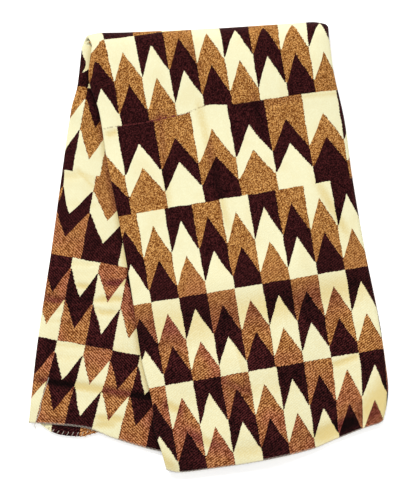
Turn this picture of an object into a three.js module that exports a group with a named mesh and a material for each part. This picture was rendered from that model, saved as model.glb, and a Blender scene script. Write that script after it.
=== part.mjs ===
// A folded kente cloth lying flat, seen from above. Millimetres, +Z up, +Y away from the viewer's feet.
// The wide cloth is folded in four along its length into a strip. The strip is folded once across, a little
// askew, so its front half leans to the right and its back half fans out to the left underneath.
// It is one sheet of even thickness, and every layer, side fold and hem below belongs to that sheet.
import * as THREE from "three";

// Cloth and layers
const CLOTH_THICK = 1.2;
const LAYER_PITCH = 2.0; // from the middle of one layer to the middle of the next
const EDGE_PITCH = 2.7; // the same beside a side fold, where the layers spring apart
const EDGE_FLAT = 9; // how far in from a side fold the wider pitch holds
const EDGE_REACH = 40; // and how much further it takes to settle to the inner pitch
const TOP_LEVEL = 3; // layers are counted from 0, the one that faces the other half, to this one
const SELVEDGE_SET = 7; // the hidden selvedge ends this far inside the left side
const CURL_RADIUS = 2.2; // the outer selvedge curls round the layers beside it

// How the two halves lie. Each has an upright frame about the part's origin: "across" runs to the right
// along the woven bands, and "down" runs along the strip towards its hem.
const FRONT_LEAN = 9.5;
const BACK_LEAN = -10.5;

// Where each half leaves the cross fold: "down" at its left and right side
const FRONT_TOP = { left: -251, right: -216.5 };
const BACK_TOP = { left: -202, right: -264 };

// Side folds, as uneven as they lie
const FRONT_SIDES = [
  { down: -251, left: -93, right: 177 },
  { down: -213, left: -103, right: 176.5 },
  { down: -176, left: -97.5, right: 175.5 },
  { down: -118, left: -98, right: 179 },
  { down: -60, left: -96, right: 177.5 },
  { down: 30, left: -95, right: 178 },
  { down: 115, left: -96.5, right: 181 },
  { down: 165, left: -92.5, right: 180 },
  { down: 195, left: -95.5, right: 178 },
  { down: 220, left: -91.5, right: 170.5 },
  { down: 245, left: -89, right: 158 },
];
const BACK_SIDES = [
  { down: -262, left: -185, right: 93 },
  { down: -202, left: -185, right: 93 },
  { down: -157, left: -182, right: 92.5 },
  { down: -129, left: -184, right: 92 },
  { down: -50, left: -181, right: 92 },
  { down: 34, left: -177, right: 93 },
  { down: 140, left: -173.5, right: 95 },
  { down: 191, left: -170, right: 97 },
  { down: 240, left: -166, right: 99 },
];

// Hems: "down" at each share of the width, counted from the left side
const FRONT_HEM = [
  { share: 0, down: 243 },
  { share: 0.05, down: 248 },
  { share: 0.17, down: 250 },
  { share: 0.42, down: 251 },
  { share: 0.68, down: 248 },
  { share: 0.8, down: 241 },
  { share: 0.92, down: 234 },
  { share: 1, down: 231 },
];
const BACK_HEM = [
  { share: 0, down: 235 },
  { share: 0.13, down: 231 },
  { share: 0.26, down: 229 },
  { share: 0.38, down: 235 },
  { share: 0.585, down: 240 },
  { share: 0.78, down: 235 },
  { share: 1, down: 221 },
];
// How far each level's hem stands past the line above, in the front half and in the back half
const LEVEL_HEMS = [
  { level: 0, front: -3, back: 0 },
  { level: 1, front: -4, back: -5 },
  { level: 2, front: -2, back: -5 },
  { level: 3, front: 0, back: -3 },
];
// The second layer's hem shows below the first at the lower left of the back half
const LONG_LEVEL = 1;
const LONG_HEM = [
  { share: 0.02, past: 0 },
  { share: 0.06, past: 8 },
  { share: 0.113, past: 15.5 },
  { share: 0.185, past: 17.5 },
  { share: 0.26, past: 14.5 },
  { share: 0.3, past: 6 },
  { share: 0.36, past: 0 },
];
const HEM_EASE = 70; // a hem's own line is felt this far up the strip

// The cross fold: inner radius at each share of the width
const FOLD_RADII = [
  { share: 0, radius: 4 },
  { share: 0.06, radius: 6.3 },
  { share: 0.5, radius: 7.3 },
  { share: 0.93, radius: 9.5 },
  { share: 1, radius: 6 },
];
const FOLD_FALL = 125; // the front half sinks from the fold to its rest over this length

// The front half lies on the back half, and past the back half's side and hem it comes down to the floor
const HALF_GAP = 1.2;
const DROP_CLEAR = 4; // it stays level this far past the edge under it
const SIDE_DROP = 80; // and reaches the floor this much further on
const HEM_DROP = 38;

// Soft ridges across the strip. "reach" is half a ridge's width, "from" and "to" are shares of the strip's width.
const FRONT_RIDGES = [
  { down: -112, height: 1.6, reach: 48, from: -0.2, to: 0.8 },
  { down: 14, height: 1.8, reach: 52, from: 0.1, to: 1.2 },
  { down: 112, height: 2.0, reach: 46, from: -0.2, to: 0.9 },
  { down: 205, height: 1.6, reach: 40, from: -0.1, to: 0.7 },
];
const BACK_RIDGES = [
  { down: -168, height: 3.0, reach: 20, from: -0.25, to: 0.22 },
  { down: -128, height: 2.6, reach: 20, from: -0.25, to: 0.2 },
  { down: 66, height: 2.2, reach: 30, from: -0.2, to: 0.3 },
  { down: 168, height: 2.4, reach: 30, from: -0.2, to: 0.4 },
  { down: 214, height: 1.8, reach: 22, from: -0.1, to: 0.4 },
];

// Steps of the sheet's grid
const LAYER_STEPS = 8;
const CURL_STEPS = 3;
const OUTER_FOLD_STEPS = 7;
const INNER_FOLD_STEPS = 6;
const FRONT_STEPS = 15;
const FOLD_STEPS = 10;
const BACK_STEPS = 13;

const CLOTH_COLOUR = 0x8a6242;
const CLOTH_ROUGHNESS = 0.92;

const mix = THREE.MathUtils.lerp;
const ease = (t) => THREE.MathUtils.smoothstep(t, 0, 1);

// The value of a column at a place along a table's key column, on a smooth curve through the rows.
function along(rows, key, column, at) {
  const last = rows.length - 1;
  const place = THREE.MathUtils.clamp(at, rows[0][key], rows[last][key]);
  let i = 0;
  while (i < last - 1 && place > rows[i + 1][key]) i += 1;
  const slope = (j) => {
    const a = rows[Math.max(j - 1, 0)];
    const b = rows[Math.min(j + 1, last)];
    return (b[column] - a[column]) / (b[key] - a[key]);
  };
  const span = rows[i + 1][key] - rows[i][key];
  const t = (place - rows[i][key]) / span;
  const start = rows[i][column];
  const rise = rows[i + 1][column] - start;
  const bend = (1 - t) * (slope(i) * span - rise) + t * (rise - slope(i + 1) * span);
  return start + rise * t + t * (1 - t) * bend;
}

// An upright frame's point as a point of the plan, and back
function toPlan(lean, across, down) {
  const a = THREE.MathUtils.degToRad(lean);
  const x = across * Math.cos(a) + down * Math.sin(a);
  const y = across * Math.sin(a) - down * Math.cos(a);
  return new THREE.Vector2(x, y);
}

function fromPlan(lean, plan) {
  const a = THREE.MathUtils.degToRad(lean);
  const across = plan.x * Math.cos(a) + plan.y * Math.sin(a);
  const down = plan.x * Math.sin(a) - plan.y * Math.cos(a);
  return { across, down };
}

// The layers' pitch and the strip's whole thickness at a distance from the nearer side
function pitchAt(fromSide) {
  return mix(EDGE_PITCH, LAYER_PITCH, ease((fromSide - EDGE_FLAT) / EDGE_REACH));
}

function thickAt(fromSide) {
  return TOP_LEVEL * pitchAt(fromSide) + CLOTH_THICK;
}

const INNER_THICK = thickAt(Infinity);
const SIDE_THICK = thickAt(0);

// Points on an arc about a centre, without its two ends
function arc(centre, radius, from, to, steps) {
  const points = [];
  for (let i = 1; i < steps; i += 1) {
    const turn = mix(from, to, i / steps);
    points.push({
      x: centre.x + radius * Math.cos(turn),
      z: centre.z + radius * Math.sin(turn),
      level: mix(centre.from, centre.to, i / steps),
    });
  }
  return points;
}

// The strip's section at one width, from the outer selvedge to the inner one: right along level 0, round the
// outer fold, left along level 3, round the left fold, right along level 2, round the inner fold, left along 1.
function sectionOf(width) {
  const middle = (level, x) => CLOTH_THICK / 2 + level * pitchAt(Math.min(x, width - x));
  const outer = 1.5 * EDGE_PITCH;
  const inner = 0.5 * EDGE_PITCH;
  const foldX = width - outer - CLOTH_THICK / 2;
  const layer = (level, rightwards) => {
    const points = [];
    for (let i = 0; i <= LAYER_STEPS; i += 1) {
      const share = rightwards ? i / LAYER_STEPS : 1 - i / LAYER_STEPS;
      const x = mix(SELVEDGE_SET, foldX, share);
      points.push({ x, z: middle(level, x), level });
    }
    return points;
  };
  const quarter = Math.PI / 2;
  const curl = { x: CURL_RADIUS + CLOTH_THICK / 2, z: CLOTH_THICK / 2 + CURL_RADIUS, from: 0, to: 0 };
  const right = { x: foldX, z: CLOTH_THICK / 2 + outer };
  const left = { x: inner + CLOTH_THICK / 2, z: CLOTH_THICK / 2 + 2.5 * EDGE_PITCH, from: 3, to: 2 };
  const tip = { x: curl.x - CURL_RADIUS, z: curl.z, level: 0 };
  return [
    tip,
    ...arc(curl, CURL_RADIUS, 2 * quarter, 3 * quarter, CURL_STEPS),
    ...layer(0, true),
    ...arc({ ...right, from: 0, to: 3 }, outer, -quarter, quarter, OUTER_FOLD_STEPS),
    ...layer(3, false),
    ...arc(left, inner, quarter, 3 * quarter, INNER_FOLD_STEPS),
    ...layer(2, true),
    ...arc({ ...right, from: 2, to: 1 }, inner, quarter, -quarter, INNER_FOLD_STEPS),
    ...layer(1, false),
  ];
}

// The section's two sides, half the cloth's thickness to the right and left of its path
function sidesOf(section) {
  const side = (sign) =>
    section.map((point, i) => {
      const before = section[Math.max(i - 1, 0)];
      const after = section[Math.min(i + 1, section.length - 1)];
      const length = Math.hypot(after.x - before.x, after.z - before.z);
      const off = (sign * CLOTH_THICK) / 2 / length;
      return {
        x: point.x + (after.z - before.z) * off,
        z: point.z - (after.x - before.x) * off,
        level: point.level,
      };
    });
  return { face: side(1), reverse: side(-1) };
}

// How far a level's hem stands past its half's hem line
function hemPast(half, level, share) {
  const past = along(LEVEL_HEMS, "level", half, level);
  const isLong = half === "back" && level === LONG_LEVEL;
  return isLong ? past + along(LONG_HEM, "share", "past", share) : past;
}

function ridges(rows, down, share) {
  let height = 0;
  for (const row of rows) {
    const near = ease(1 - Math.abs(down - row.down) / row.reach);
    const middle = (row.from + row.to) / 2;
    const half = (row.to - row.from) / 2;
    height += row.height * near * ease(1 - Math.abs(share - middle) / half);
  }
  return height;
}

// "down" on one half at a share of its width and a share of the way from the cross fold to its hem
function downAt(half, top, hem, share, way, level) {
  const start = mix(top.left, top.right, share);
  const end = along(hem, "share", "down", share);
  const down = mix(start, end, way);
  const pull = ease(1 - (end - down) / HEM_EASE);
  return down + pull * hemPast(half, level, share);
}

function planOn(lean, sides, share, down) {
  const left = along(sides, "down", "left", down);
  const right = along(sides, "down", "right", down);
  return toPlan(lean, mix(left, right, share), down);
}

// The height at which the front half's underside rests: on the back half, or past it on the floor
function restUnder(plan) {
  const { across, down } = fromPlan(BACK_LEAN, plan);
  const right = along(BACK_SIDES, "down", "right", down);
  const left = along(BACK_SIDES, "down", "left", down);
  const share = THREE.MathUtils.clamp((across - left) / (right - left), 0, 1);
  const pastSide = ease((across - right - DROP_CLEAR) / SIDE_DROP);
  const pastHem = ease((down - along(BACK_HEM, "share", "down", share) - DROP_CLEAR) / HEM_DROP);
  return (SIDE_THICK + HALF_GAP) * (1 - pastSide) * (1 - pastHem);
}

const foldRadius = (share) => along(FOLD_RADII, "share", "radius", share);

function onFront(width, point, way) {
  const share = point.x / width;
  const down = downAt("front", FRONT_TOP, FRONT_HEM, share, way, point.level);
  const plan = planOn(FRONT_LEAN, FRONT_SIDES, share, down);
  const rest = restUnder(plan);
  const top = INNER_THICK + 2 * foldRadius(share);
  const fallen = ease((down - mix(FRONT_TOP.left, FRONT_TOP.right, share)) / FOLD_FALL);
  const z = mix(top, rest, fallen) + point.z + ridges(FRONT_RIDGES, down, share) * fallen;
  return new THREE.Vector3(plan.x, plan.y, z);
}

function onBack(width, point, way) {
  const share = point.x / width;
  const down = downAt("back", BACK_TOP, BACK_HEM, share, way, point.level);
  const plan = planOn(BACK_LEAN, BACK_SIDES, share, down);
  const thick = thickAt(Math.min(point.x, width - point.x));
  const lift = ridges(BACK_RIDGES, down, share) * (1 - THREE.MathUtils.clamp(point.level / TOP_LEVEL, 0, 1));
  return new THREE.Vector3(plan.x, plan.y, thick - point.z + lift);
}

function onFold(width, point, way) {
  const share = point.x / width;
  const front = planOn(FRONT_LEAN, FRONT_SIDES, share, mix(FRONT_TOP.left, FRONT_TOP.right, share));
  const back = planOn(BACK_LEAN, BACK_SIDES, share, mix(BACK_TOP.left, BACK_TOP.right, share));
  const radius = foldRadius(share);
  const settle = way * (INNER_THICK - thickAt(Math.min(point.x, width - point.x)));
  const reach = radius + point.z + settle;
  const plan = front.lerp(back, way).addScaledVector(FOLD_OUT, reach * Math.sin(Math.PI * way));
  return new THREE.Vector3(plan.x, plan.y, INNER_THICK + radius + reach * Math.cos(Math.PI * way));
}

// The direction in plan in which the cross fold bulges
function foldOut() {
  const left = planOn(FRONT_LEAN, FRONT_SIDES, 0, FRONT_TOP.left);
  const right = planOn(FRONT_LEAN, FRONT_SIDES, 1, FRONT_TOP.right);
  const line = right.sub(left).normalize();
  return new THREE.Vector2(-line.y, line.x);
}
const FOLD_OUT = foldOut();

// The stations of the strip from the front hem over the cross fold to the back hem
function stations() {
  const rows = [];
  for (let i = 0; i < FRONT_STEPS; i += 1) rows.push({ place: onFront, way: 1 - i / FRONT_STEPS });
  for (let i = 0; i < FOLD_STEPS; i += 1) rows.push({ place: onFold, way: i / FOLD_STEPS });
  for (let i = 0; i <= BACK_STEPS; i += 1) rows.push({ place: onBack, way: i / BACK_STEPS });
  return rows;
}

// The width of the strip at a station
function widthAt({ place, way }) {
  const start = place(1, { x: 0, z: 0, level: 0 }, way);
  const end = place(1, { x: 1, z: 0, level: 0 }, way);
  return Math.hypot(end.x - start.x, end.y - start.y);
}

function clothGeometry() {
  const rows = stations().map((station) => {
    const width = widthAt(station);
    const { face, reverse } = sidesOf(sectionOf(width));
    const put = (point) => station.place(width, point, station.way);
    return { face: face.map(put), reverse: reverse.map(put), section: face };
  });
  const count = rows[0].face.length;
  const positions = rows.flatMap((row) => [...row.face, ...row.reverse]).flatMap((p) => p.toArray());
  const face = (k, c) => 2 * count * k + c;
  const reverse = (k, c) => 2 * count * k + count + c;
  const index = [];
  const quad = (a, b, c, d) => index.push(a, b, c, a, c, d);
  for (let k = 0; k + 1 < rows.length; k += 1) {
    for (let c = 0; c + 1 < count; c += 1) {
      const rightwards = rows[k].section[c + 1].x > rows[k].section[c].x;
      if (rightwards) {
        quad(face(k, c), face(k + 1, c), face(k + 1, c + 1), face(k, c + 1));
        quad(reverse(k, c + 1), reverse(k + 1, c + 1), reverse(k + 1, c), reverse(k, c));
      } else {
        quad(face(k, c + 1), face(k, c), face(k + 1, c), face(k + 1, c + 1));
        quad(reverse(k + 1, c + 1), reverse(k + 1, c), reverse(k, c), reverse(k, c + 1));
      }
    }
    const end = count - 1;
    quad(face(k, 0), reverse(k, 0), reverse(k + 1, 0), face(k + 1, 0));
    quad(face(k, end), face(k + 1, end), reverse(k + 1, end), reverse(k, end));
  }
  const last = rows.length - 1;
  for (let c = 0; c + 1 < count; c += 1) {
    quad(face(0, c), face(0, c + 1), reverse(0, c + 1), reverse(0, c));
    quad(face(last, c), reverse(last, c), reverse(last, c + 1), face(last, c + 1));
  }
  const geometry = new THREE.BufferGeometry();
  geometry.setAttribute("position", new THREE.Float32BufferAttribute(positions, 3));
  geometry.setIndex(index);
  geometry.computeVertexNormals();
  return geometry;
}

const material = new THREE.MeshStandardMaterial({
  color: CLOTH_COLOUR,
  roughness: CLOTH_ROUGHNESS,
  metalness: 0,
});
const cloth = new THREE.Mesh(clothGeometry(), material);
cloth.name = "kente_cloth";

const part = new THREE.Group();
part.add(cloth);
export default part;
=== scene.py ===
"""A folded kente cloth lying flat on a pale floor, seen from straight above.

The cloth is one thin sheet on the folds of its solid: folded in four along its length into a strip,
and the strip folded once across, askew. Sizes are millimetres and become metres where a mesh is made.
Each half of the strip has an upright frame about the part's origin: "across" runs to the right along
the woven bands, and "down" runs along the strip towards its hem.
"""
import math

import bpy
import numpy as np
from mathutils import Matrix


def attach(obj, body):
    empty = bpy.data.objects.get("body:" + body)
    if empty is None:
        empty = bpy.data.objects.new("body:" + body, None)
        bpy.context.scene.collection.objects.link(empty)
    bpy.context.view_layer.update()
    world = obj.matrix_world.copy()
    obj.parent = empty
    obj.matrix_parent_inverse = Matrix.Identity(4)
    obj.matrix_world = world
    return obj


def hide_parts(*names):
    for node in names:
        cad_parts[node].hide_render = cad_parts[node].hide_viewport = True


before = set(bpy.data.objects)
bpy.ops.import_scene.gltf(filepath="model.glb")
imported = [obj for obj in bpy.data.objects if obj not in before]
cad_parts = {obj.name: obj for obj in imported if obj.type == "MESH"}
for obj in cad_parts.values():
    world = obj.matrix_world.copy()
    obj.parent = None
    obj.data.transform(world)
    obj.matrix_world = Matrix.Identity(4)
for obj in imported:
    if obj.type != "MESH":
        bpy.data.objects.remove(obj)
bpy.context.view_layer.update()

MM = 0.001


def table(columns, *rows):
    """A table as a dict of its named columns."""
    return dict(zip(columns.split(), np.array(rows, float).T))


# Cloth and layers, as in the solid
CLOTH_THICK = 1.2
LAYER_PITCH = 2.0
EDGE_PITCH = 2.7
EDGE_FLAT = 9
EDGE_REACH = 40
TOP_LEVEL = 3
SELVEDGE_SET = 7
CURL_RADIUS = 2.2
OUTER_RADIUS = 1.5 * EDGE_PITCH
INNER_RADIUS = 0.5 * EDGE_PITCH
INNER_THICK = TOP_LEVEL * LAYER_PITCH + CLOTH_THICK
SIDE_THICK = TOP_LEVEL * EDGE_PITCH + CLOTH_THICK

# How the two halves lie, and where they leave the cross fold
FRONT_LEAN = 9.5
BACK_LEAN = -10.5
FRONT_TOP = {"left": -251, "right": -216.5}
BACK_TOP = {"left": -202, "right": -264}

# Side folds, as uneven as they lie
FRONT_SIDES = table(
    "down left right",
    (-251, -93, 177),
    (-213, -103, 176.5),
    (-176, -97.5, 175.5),
    (-118, -98, 179),
    (-60, -96, 177.5),
    (30, -95, 178),
    (115, -96.5, 181),
    (165, -92.5, 180),
    (195, -95.5, 178),
    (220, -91.5, 170.5),
    (245, -89, 158),
)
BACK_SIDES = table(
    "down left right",
    (-262, -185, 93),
    (-202, -185, 93),
    (-157, -182, 92.5),
    (-129, -184, 92),
    (-50, -181, 92),
    (34, -177, 93),
    (140, -173.5, 95),
    (191, -170, 97),
    (240, -166, 99),
)

# Hems: "down" at each share of the width, and how far each level's hem stands past that
FRONT_HEM = table(
    "share down",
    (0, 243),
    (0.05, 248),
    (0.17, 250),
    (0.42, 251),
    (0.68, 248),
    (0.8, 241),
    (0.92, 234),
    (1, 231),
)
BACK_HEM = table(
    "share down",
    (0, 235),
    (0.13, 231),
    (0.26, 229),
    (0.38, 235),
    (0.585, 240),
    (0.78, 235),
    (1, 221),
)
LEVEL_HEMS = table(
    "level front back",
    (0, -3, 0),
    (1, -4, -5),
    (2, -2, -5),
    (3, 0, -3),
)
LONG_LEVEL = 1
LONG_HEM = table(
    "share past",
    (0.02, 0),
    (0.06, 8),
    (0.113, 15.5),
    (0.185, 17.5),
    (0.26, 14.5),
    (0.3, 6),
    (0.36, 0),
)
HEM_EASE = 70

# The cross fold, and how the front half comes down from it and past the back half
FOLD_RADII = table(
    "share radius",
    (0, 4),
    (0.06, 6.3),
    (0.5, 7.3),
    (0.93, 9.5),
    (1, 6),
)
FOLD_FALL = 125
HALF_GAP = 1.2
DROP_CLEAR = 4
SIDE_DROP = 80
HEM_DROP = 38

# Soft ridges across the strip
FRONT_RIDGES = table(
    "down height reach start end",
    (-112, 1.6, 48, -0.2, 0.8),
    (40, 2.8, 34, -0.1, 1.0),
    (136, 2.4, 32, -0.2, 0.9),
    (214, 1.8, 28, -0.1, 0.8),
)
BACK_RIDGES = table(
    "down height reach start end",
    (-168, 3.0, 20, -0.25, 0.22),
    (-128, 2.6, 20, -0.25, 0.2),
    (66, 2.2, 30, -0.2, 0.3),
    (168, 2.4, 30, -0.2, 0.4),
    (214, 1.8, 22, -0.1, 0.4),
)

# Creases of the shown layer: a line from one point of the half's frame to another, its height (a trough
# is below nought), how far it reaches, the share of that on its upper side, and how much painted shade
# darkens its colours there
CREASE_SHOULDER = {"height": 0.5, "reach": 2.2}  # as shares of the crease's own
CREASE_TAPER = {"parts": 3, "reaches": 4}  # an end fades over a third, or four reaches if that is less
CREASE_DEPTH = 0.5  # no trough goes deeper, because of the layer below
FRONT_CREASES = table(
    "across down to_across to_down height reach upper tint",
    (13, -250, 26, -190, -0.8, 8, 1, 0.5),
    (15, -185, 28, 0, -0.9, 8, 1, 0.6),
    (-28, -180, -38, -35, -0.8, 7, 1, 0.5),
    (79, -180, 84, -105, -0.8, 7, 1, 0.5),
    (-98, -146, -76, -150, -1.4, 6, 1, 0.9),
    (-74, -151, -8, -160, -1.0, 5, 1, 0.6),
    (50, -155, 200, -150, -0.8, 5, 1, 0.5),
    (130, -70, 168, 30, -1.2, 9, 1, 0.8),
    (-190, 85, 40, 80, -0.6, 40, 1, 0.62),
    (-40, 84, 230, 67, -0.8, 30, 1, 0.74),
    (13, 95, 21, 186, -1.0, 6, 1, 0.5),
    (-22, 142, 24, 177, -1.2, 9, 1, 0.6),
    (-84, 168, 110, 172, -0.8, 20, 1, 0.3),
    (-84, 163, -56, 184, -1.4, 9, 1, 1.0),
    (110, 158, 160, 148, -1.4, 8, 0.6, 1.0),
    (-108, 208, -74, 252, -1.0, 10, 1, 0.8),
    (-70, 199, -18, 232, -1.0, 11, 1, 0.8),
    (-30, 236, 66, 240, -0.8, 16, 1, 0.5),
    (74, 238, 146, 221, -1.2, 13, 1, 1.0),
    (40, 246, 230, 206, -0.3, 34, 1, 0.4),
    (140, 232, 192, 172, -1.2, 24, 1, 0.9),
)
BACK_CREASES = table(
    "across down to_across to_down height reach upper tint",
    (-170, -66, -134, -38, -1.3, 4.5, 1, 0.6),
    (-160, -60, -132, -50, -0.8, 4.5, 1, 0.35),
    (-186, -50, -156, -56, -1.2, 9, 1, 0.45),
    (-182, -19, -122, -27, -0.7, 6, 1, 0.3),
    (-182, 21, -98, 13, -0.8, 6, 1, 0.35),
    (-180, 49, -112, 41, -0.8, 6, 1, 0.35),
    (-146, 70, -118, 68, -1.4, 6, 1, 1.0),
    (-116, 63, -72, 53, -1.5, 7, 1, 1.3),
    (-120, 82, -76, 73, -1.4, 7, 1, 1.0),
    (-190, 90, -138, 89, -1.5, 10, 1, 0.8),
    (-180, 96, -96, 79, -0.8, 5, 1, 0.5),
    (-116, 97, -84, 91, -1.2, 6, 1, 0.9),
    (-176, 107, -100, 89, -0.8, 5, 1, 0.4),
    (-178, 119, -112, 105, -0.8, 5, 1, 0.4),
    (-180, 143, -50, 132, -0.9, 6, 1, 0.45),
    (-174, 158, -94, 149, -0.8, 6, 1, 0.35),
    (-186, 185, 30, 180, -1.6, 9, 1, 1.1),
    (-100, 217, -52, 210, -1.3, 7, 1, 1.1),
    (-97, 226, -62, 218, -1.2, 6, 1, 0.9),
    (-152, 231, -92, 217, -0.8, 6, 1, 0.5),
)
# Painted shade: the back half's colours are darkened beside the front half's left side too
SHADE_BESIDE_FRONT = {"reach": 9, "tint": 0.7}

# Steps of the sheet's grid
CURL_STEPS = 6
OUTER_FOLD_STEPS = 10
INNER_FOLD_STEPS = 8
SHOWN_STEPS = 69
WEDGE_STEPS = 44
LENS_STEPS = 11
FOLD_STEPS = 20
# The hidden layers' columns, as shares of the width: closest where the front half comes down past the
# back half
HIDDEN_WAYS = np.array([0, 0.05, 0.15, 0.3, 0.42, 0.52, 0.6, 0.67, 0.74, 0.8, 0.86, 0.91, 0.955, 1])
WEDGE_WAY = 0.6  # up to here the back half's upper layer may show
LENS_WAY = 0.42  # and to here the hem of the layer below
# How many stations of a half have passed at each share of the way to its hem: closer at its creases
FRONT_STATIONS = table(
    "way count",
    (0, 0),
    (0.16, 14),
    (0.24, 27),
    (0.54, 52),
    (0.72, 78),
    (0.8, 86),
    (0.89, 99),
    (0.93, 103),
    (1, 114),
)
BACK_STATIONS = table(
    "way count",
    (0, 0),
    (0.31, 30),
    (0.38, 41),
    (0.55, 56),
    (0.72, 86),
    (0.83, 98),
    (1, 129),
)

# The woven pattern. Bands are counted from the front hem over the cross fold to the back hem.
BAND_HEIGHT = 100
FRONT_SEAMS = table(
    "down band",
    (-252, 5),
    (-153.5, 4),
    (-52.7, 3),
    (50.8, 2),
    (147.4, 1),
    (249.5, 0),
)
BACK_SEAMS = table(
    "down band",
    (-156, 6),
    (-58.5, 7),
    (39.3, 8),
    (135.9, 9),
    (233, 10),
)
FIRST_BAND = 0.004
LAST_BAND = 9.996
BACK_MIRROR = 258.8  # a column's place on the back half is this less "across"
BACK_JOIN = 0.6  # from this share of the back half's width its columns drift to meet the outer fold's
BACK_SETTLE = 130  # the bands of the hidden layers settle over this length after the cross fold
LENS_SHIFT = {"width": -25, "share": 0.5}  # of the second layer's columns, where its hem shows

# How the woven lines lie askew: the bands bow below the cross fold, and the columns drift at the
# corners
BOW = table(
    "share height",
    (0, 2),
    (0.05, 3),
    (0.17, 1.4),
    (0.3, 4.6),
    (0.41, 7.2),
    (0.53, 8.5),
    (0.8, 6.3),
    (1, 1.8),
)
BOW_REACH = {"start": -110, "full": -205}
BOW_SLIP = 0.007  # bands for each mm of the bow by which the pattern runs ahead again on the cross fold
TOP_DROOP = {"height": -12, "share": 0.05, "start": -190, "full": -235}
TOP_DRIFT = {"width": 3, "share": 0.3, "start": -200, "full": -250}
CORNER_DRIFT = {"width": 10, "share": 0.45, "last": 0.92, "start": 150, "full": 240}
SIDE_DRIFT = {"width": 3.2, "share": 0.95}
HEM_DRIFT = {"width": -7, "start": 136, "full": 233}
BACK_TOP_DRIFT = {"width": 14, "start": -158, "full": -185}
BACK_SIDE_DRIFT = {"width": 11, "share": 0.05, "down": -40, "reach": 50}
# One seam of the front half is puckered at its middle
PUCKER = {"height": 4, "share": 0.45, "width": 0.1, "down": -153.5, "reach": 45}

SHARP_ANGLE = 60  # edges that turn more than this stay sharp, as the sheet's rims do


def mix(a, b, t):
    return a + (b - a) * t


def ease(t):
    t = np.clip(t, 0, 1)
    return t * t * (3 - 2 * t)


def near(value, at, reach):
    """1 at a place and 0 past its reach."""
    return ease(1 - np.abs(value - at) / reach)


def along(rows, key, column, at):
    """A column's values at places along a table's key column, on a smooth curve through the rows."""
    keys, values = rows[key], rows[column]
    last = len(keys) - 1
    place = np.clip(at, keys[0], keys[-1])
    i = np.clip(np.searchsorted(keys, place) - 1, 0, last - 1)
    before = np.maximum(np.arange(last + 1) - 1, 0)
    after = np.minimum(np.arange(last + 1) + 1, last)
    slope = (values[after] - values[before]) / (keys[after] - keys[before])
    span = keys[i + 1] - keys[i]
    rise = values[i + 1] - values[i]
    t = (place - keys[i]) / span
    bend = (1 - t) * (slope[i] * span - rise) + t * (rise - slope[i + 1] * span)
    return values[i] + rise * t + t * (1 - t) * bend


def straight(rows, key, column, at):
    """A column's values between a table's rows in straight lines, which carry on past both ends."""
    keys, values = rows[key], rows[column]
    i = np.clip(np.searchsorted(keys, at) - 1, 0, len(keys) - 2)
    return values[i] + (at - keys[i]) * (values[i + 1] - values[i]) / (keys[i + 1] - keys[i])


def to_plan(lean, across, down):
    a = math.radians(lean)
    x = across * math.cos(a) + down * math.sin(a)
    y = across * math.sin(a) - down * math.cos(a)
    return np.array([x, y])


def from_plan(lean, plan):
    a = math.radians(lean)
    across = plan[0] * math.cos(a) + plan[1] * math.sin(a)
    down = plan[0] * math.sin(a) - plan[1] * math.cos(a)
    return across, down


def sides_at(sides, down):
    """How far across a half's left and right side lie."""
    return along(sides, "down", "left", down), along(sides, "down", "right", down)


def top_of(top, share):
    """Where a half leaves the cross fold."""
    return mix(top["left"], top["right"], share)


def pitch_at(from_side):
    return mix(EDGE_PITCH, LAYER_PITCH, ease((from_side - EDGE_FLAT) / EDGE_REACH))


def thick_at(from_side):
    return TOP_LEVEL * pitch_at(from_side) + CLOTH_THICK


def section_of(width):
    """The strip's section at one width: x, z and level, the length along the cloth, counted leftwards
    from where the shown layer leaves the outer fold, and that fold's x."""
    fold_x = width - OUTER_RADIUS - CLOTH_THICK / 2
    half = CLOTH_THICK / 2
    right = (fold_x, half + OUTER_RADIUS)
    left = (INNER_RADIUS + half, half + (TOP_LEVEL - 0.5) * EDGE_PITCH)
    curl = (CURL_RADIUS + half, half + CURL_RADIUS)

    def layer(level, x):
        return np.array([x, half + level * pitch_at(np.minimum(x, width - x)), np.full(len(x), level)])

    def bend(centre, radius, turns, levels, steps, keep=slice(1, -1)):
        turn = np.radians(np.linspace(*turns, steps + 1))
        x = centre[0] + radius * np.cos(turn)
        z = centre[1] + radius * np.sin(turn)
        return np.array([x, z, np.linspace(*levels, steps + 1)])[:, keep]

    def columns(way, steps):
        close = np.linspace(0, way, steps, endpoint=False)
        return mix(SELVEDGE_SET, fold_x, np.concatenate([close, HIDDEN_WAYS[HIDDEN_WAYS >= way]]))

    before = [
        bend(curl, CURL_RADIUS, (180, 270), (0, 0), CURL_STEPS, slice(None)),
        layer(0, columns(WEDGE_WAY, WEDGE_STEPS)),
        bend(right, OUTER_RADIUS, (-90, 90), (0, TOP_LEVEL), OUTER_FOLD_STEPS),
    ]
    after = [
        layer(TOP_LEVEL, columns(1, SHOWN_STEPS)[::-1]),
        bend(left, INNER_RADIUS, (90, 270), (TOP_LEVEL, 2), INNER_FOLD_STEPS, slice(None)),
        layer(2, columns(0, 0)),
        bend(right, INNER_RADIUS, (90, -90), (2, 1), INNER_FOLD_STEPS),
        layer(1, columns(LENS_WAY, LENS_STEPS)[::-1]),
    ]
    x, z, level = np.concatenate(before + after, axis=1)
    length = np.concatenate([[0], np.cumsum(np.hypot(np.diff(x), np.diff(z)))])
    start = sum(piece.shape[1] for piece in before)
    return x, z, level, length - length[start], fold_x


def side_of(x, z, sign):
    """One side of the section, half the cloth's thickness to the right or left of its path."""
    dx = np.gradient(x)
    dz = np.gradient(z)
    off = sign * CLOTH_THICK / 2 / np.hypot(dx, dz)
    return x + dz * off, z - dx * off


def hem_past(half, level, share):
    past = along(LEVEL_HEMS, "level", half, level)
    if half == "back":
        past = past + np.where(level == LONG_LEVEL, along(LONG_HEM, "share", "past", share), 0)
    return past


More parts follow.
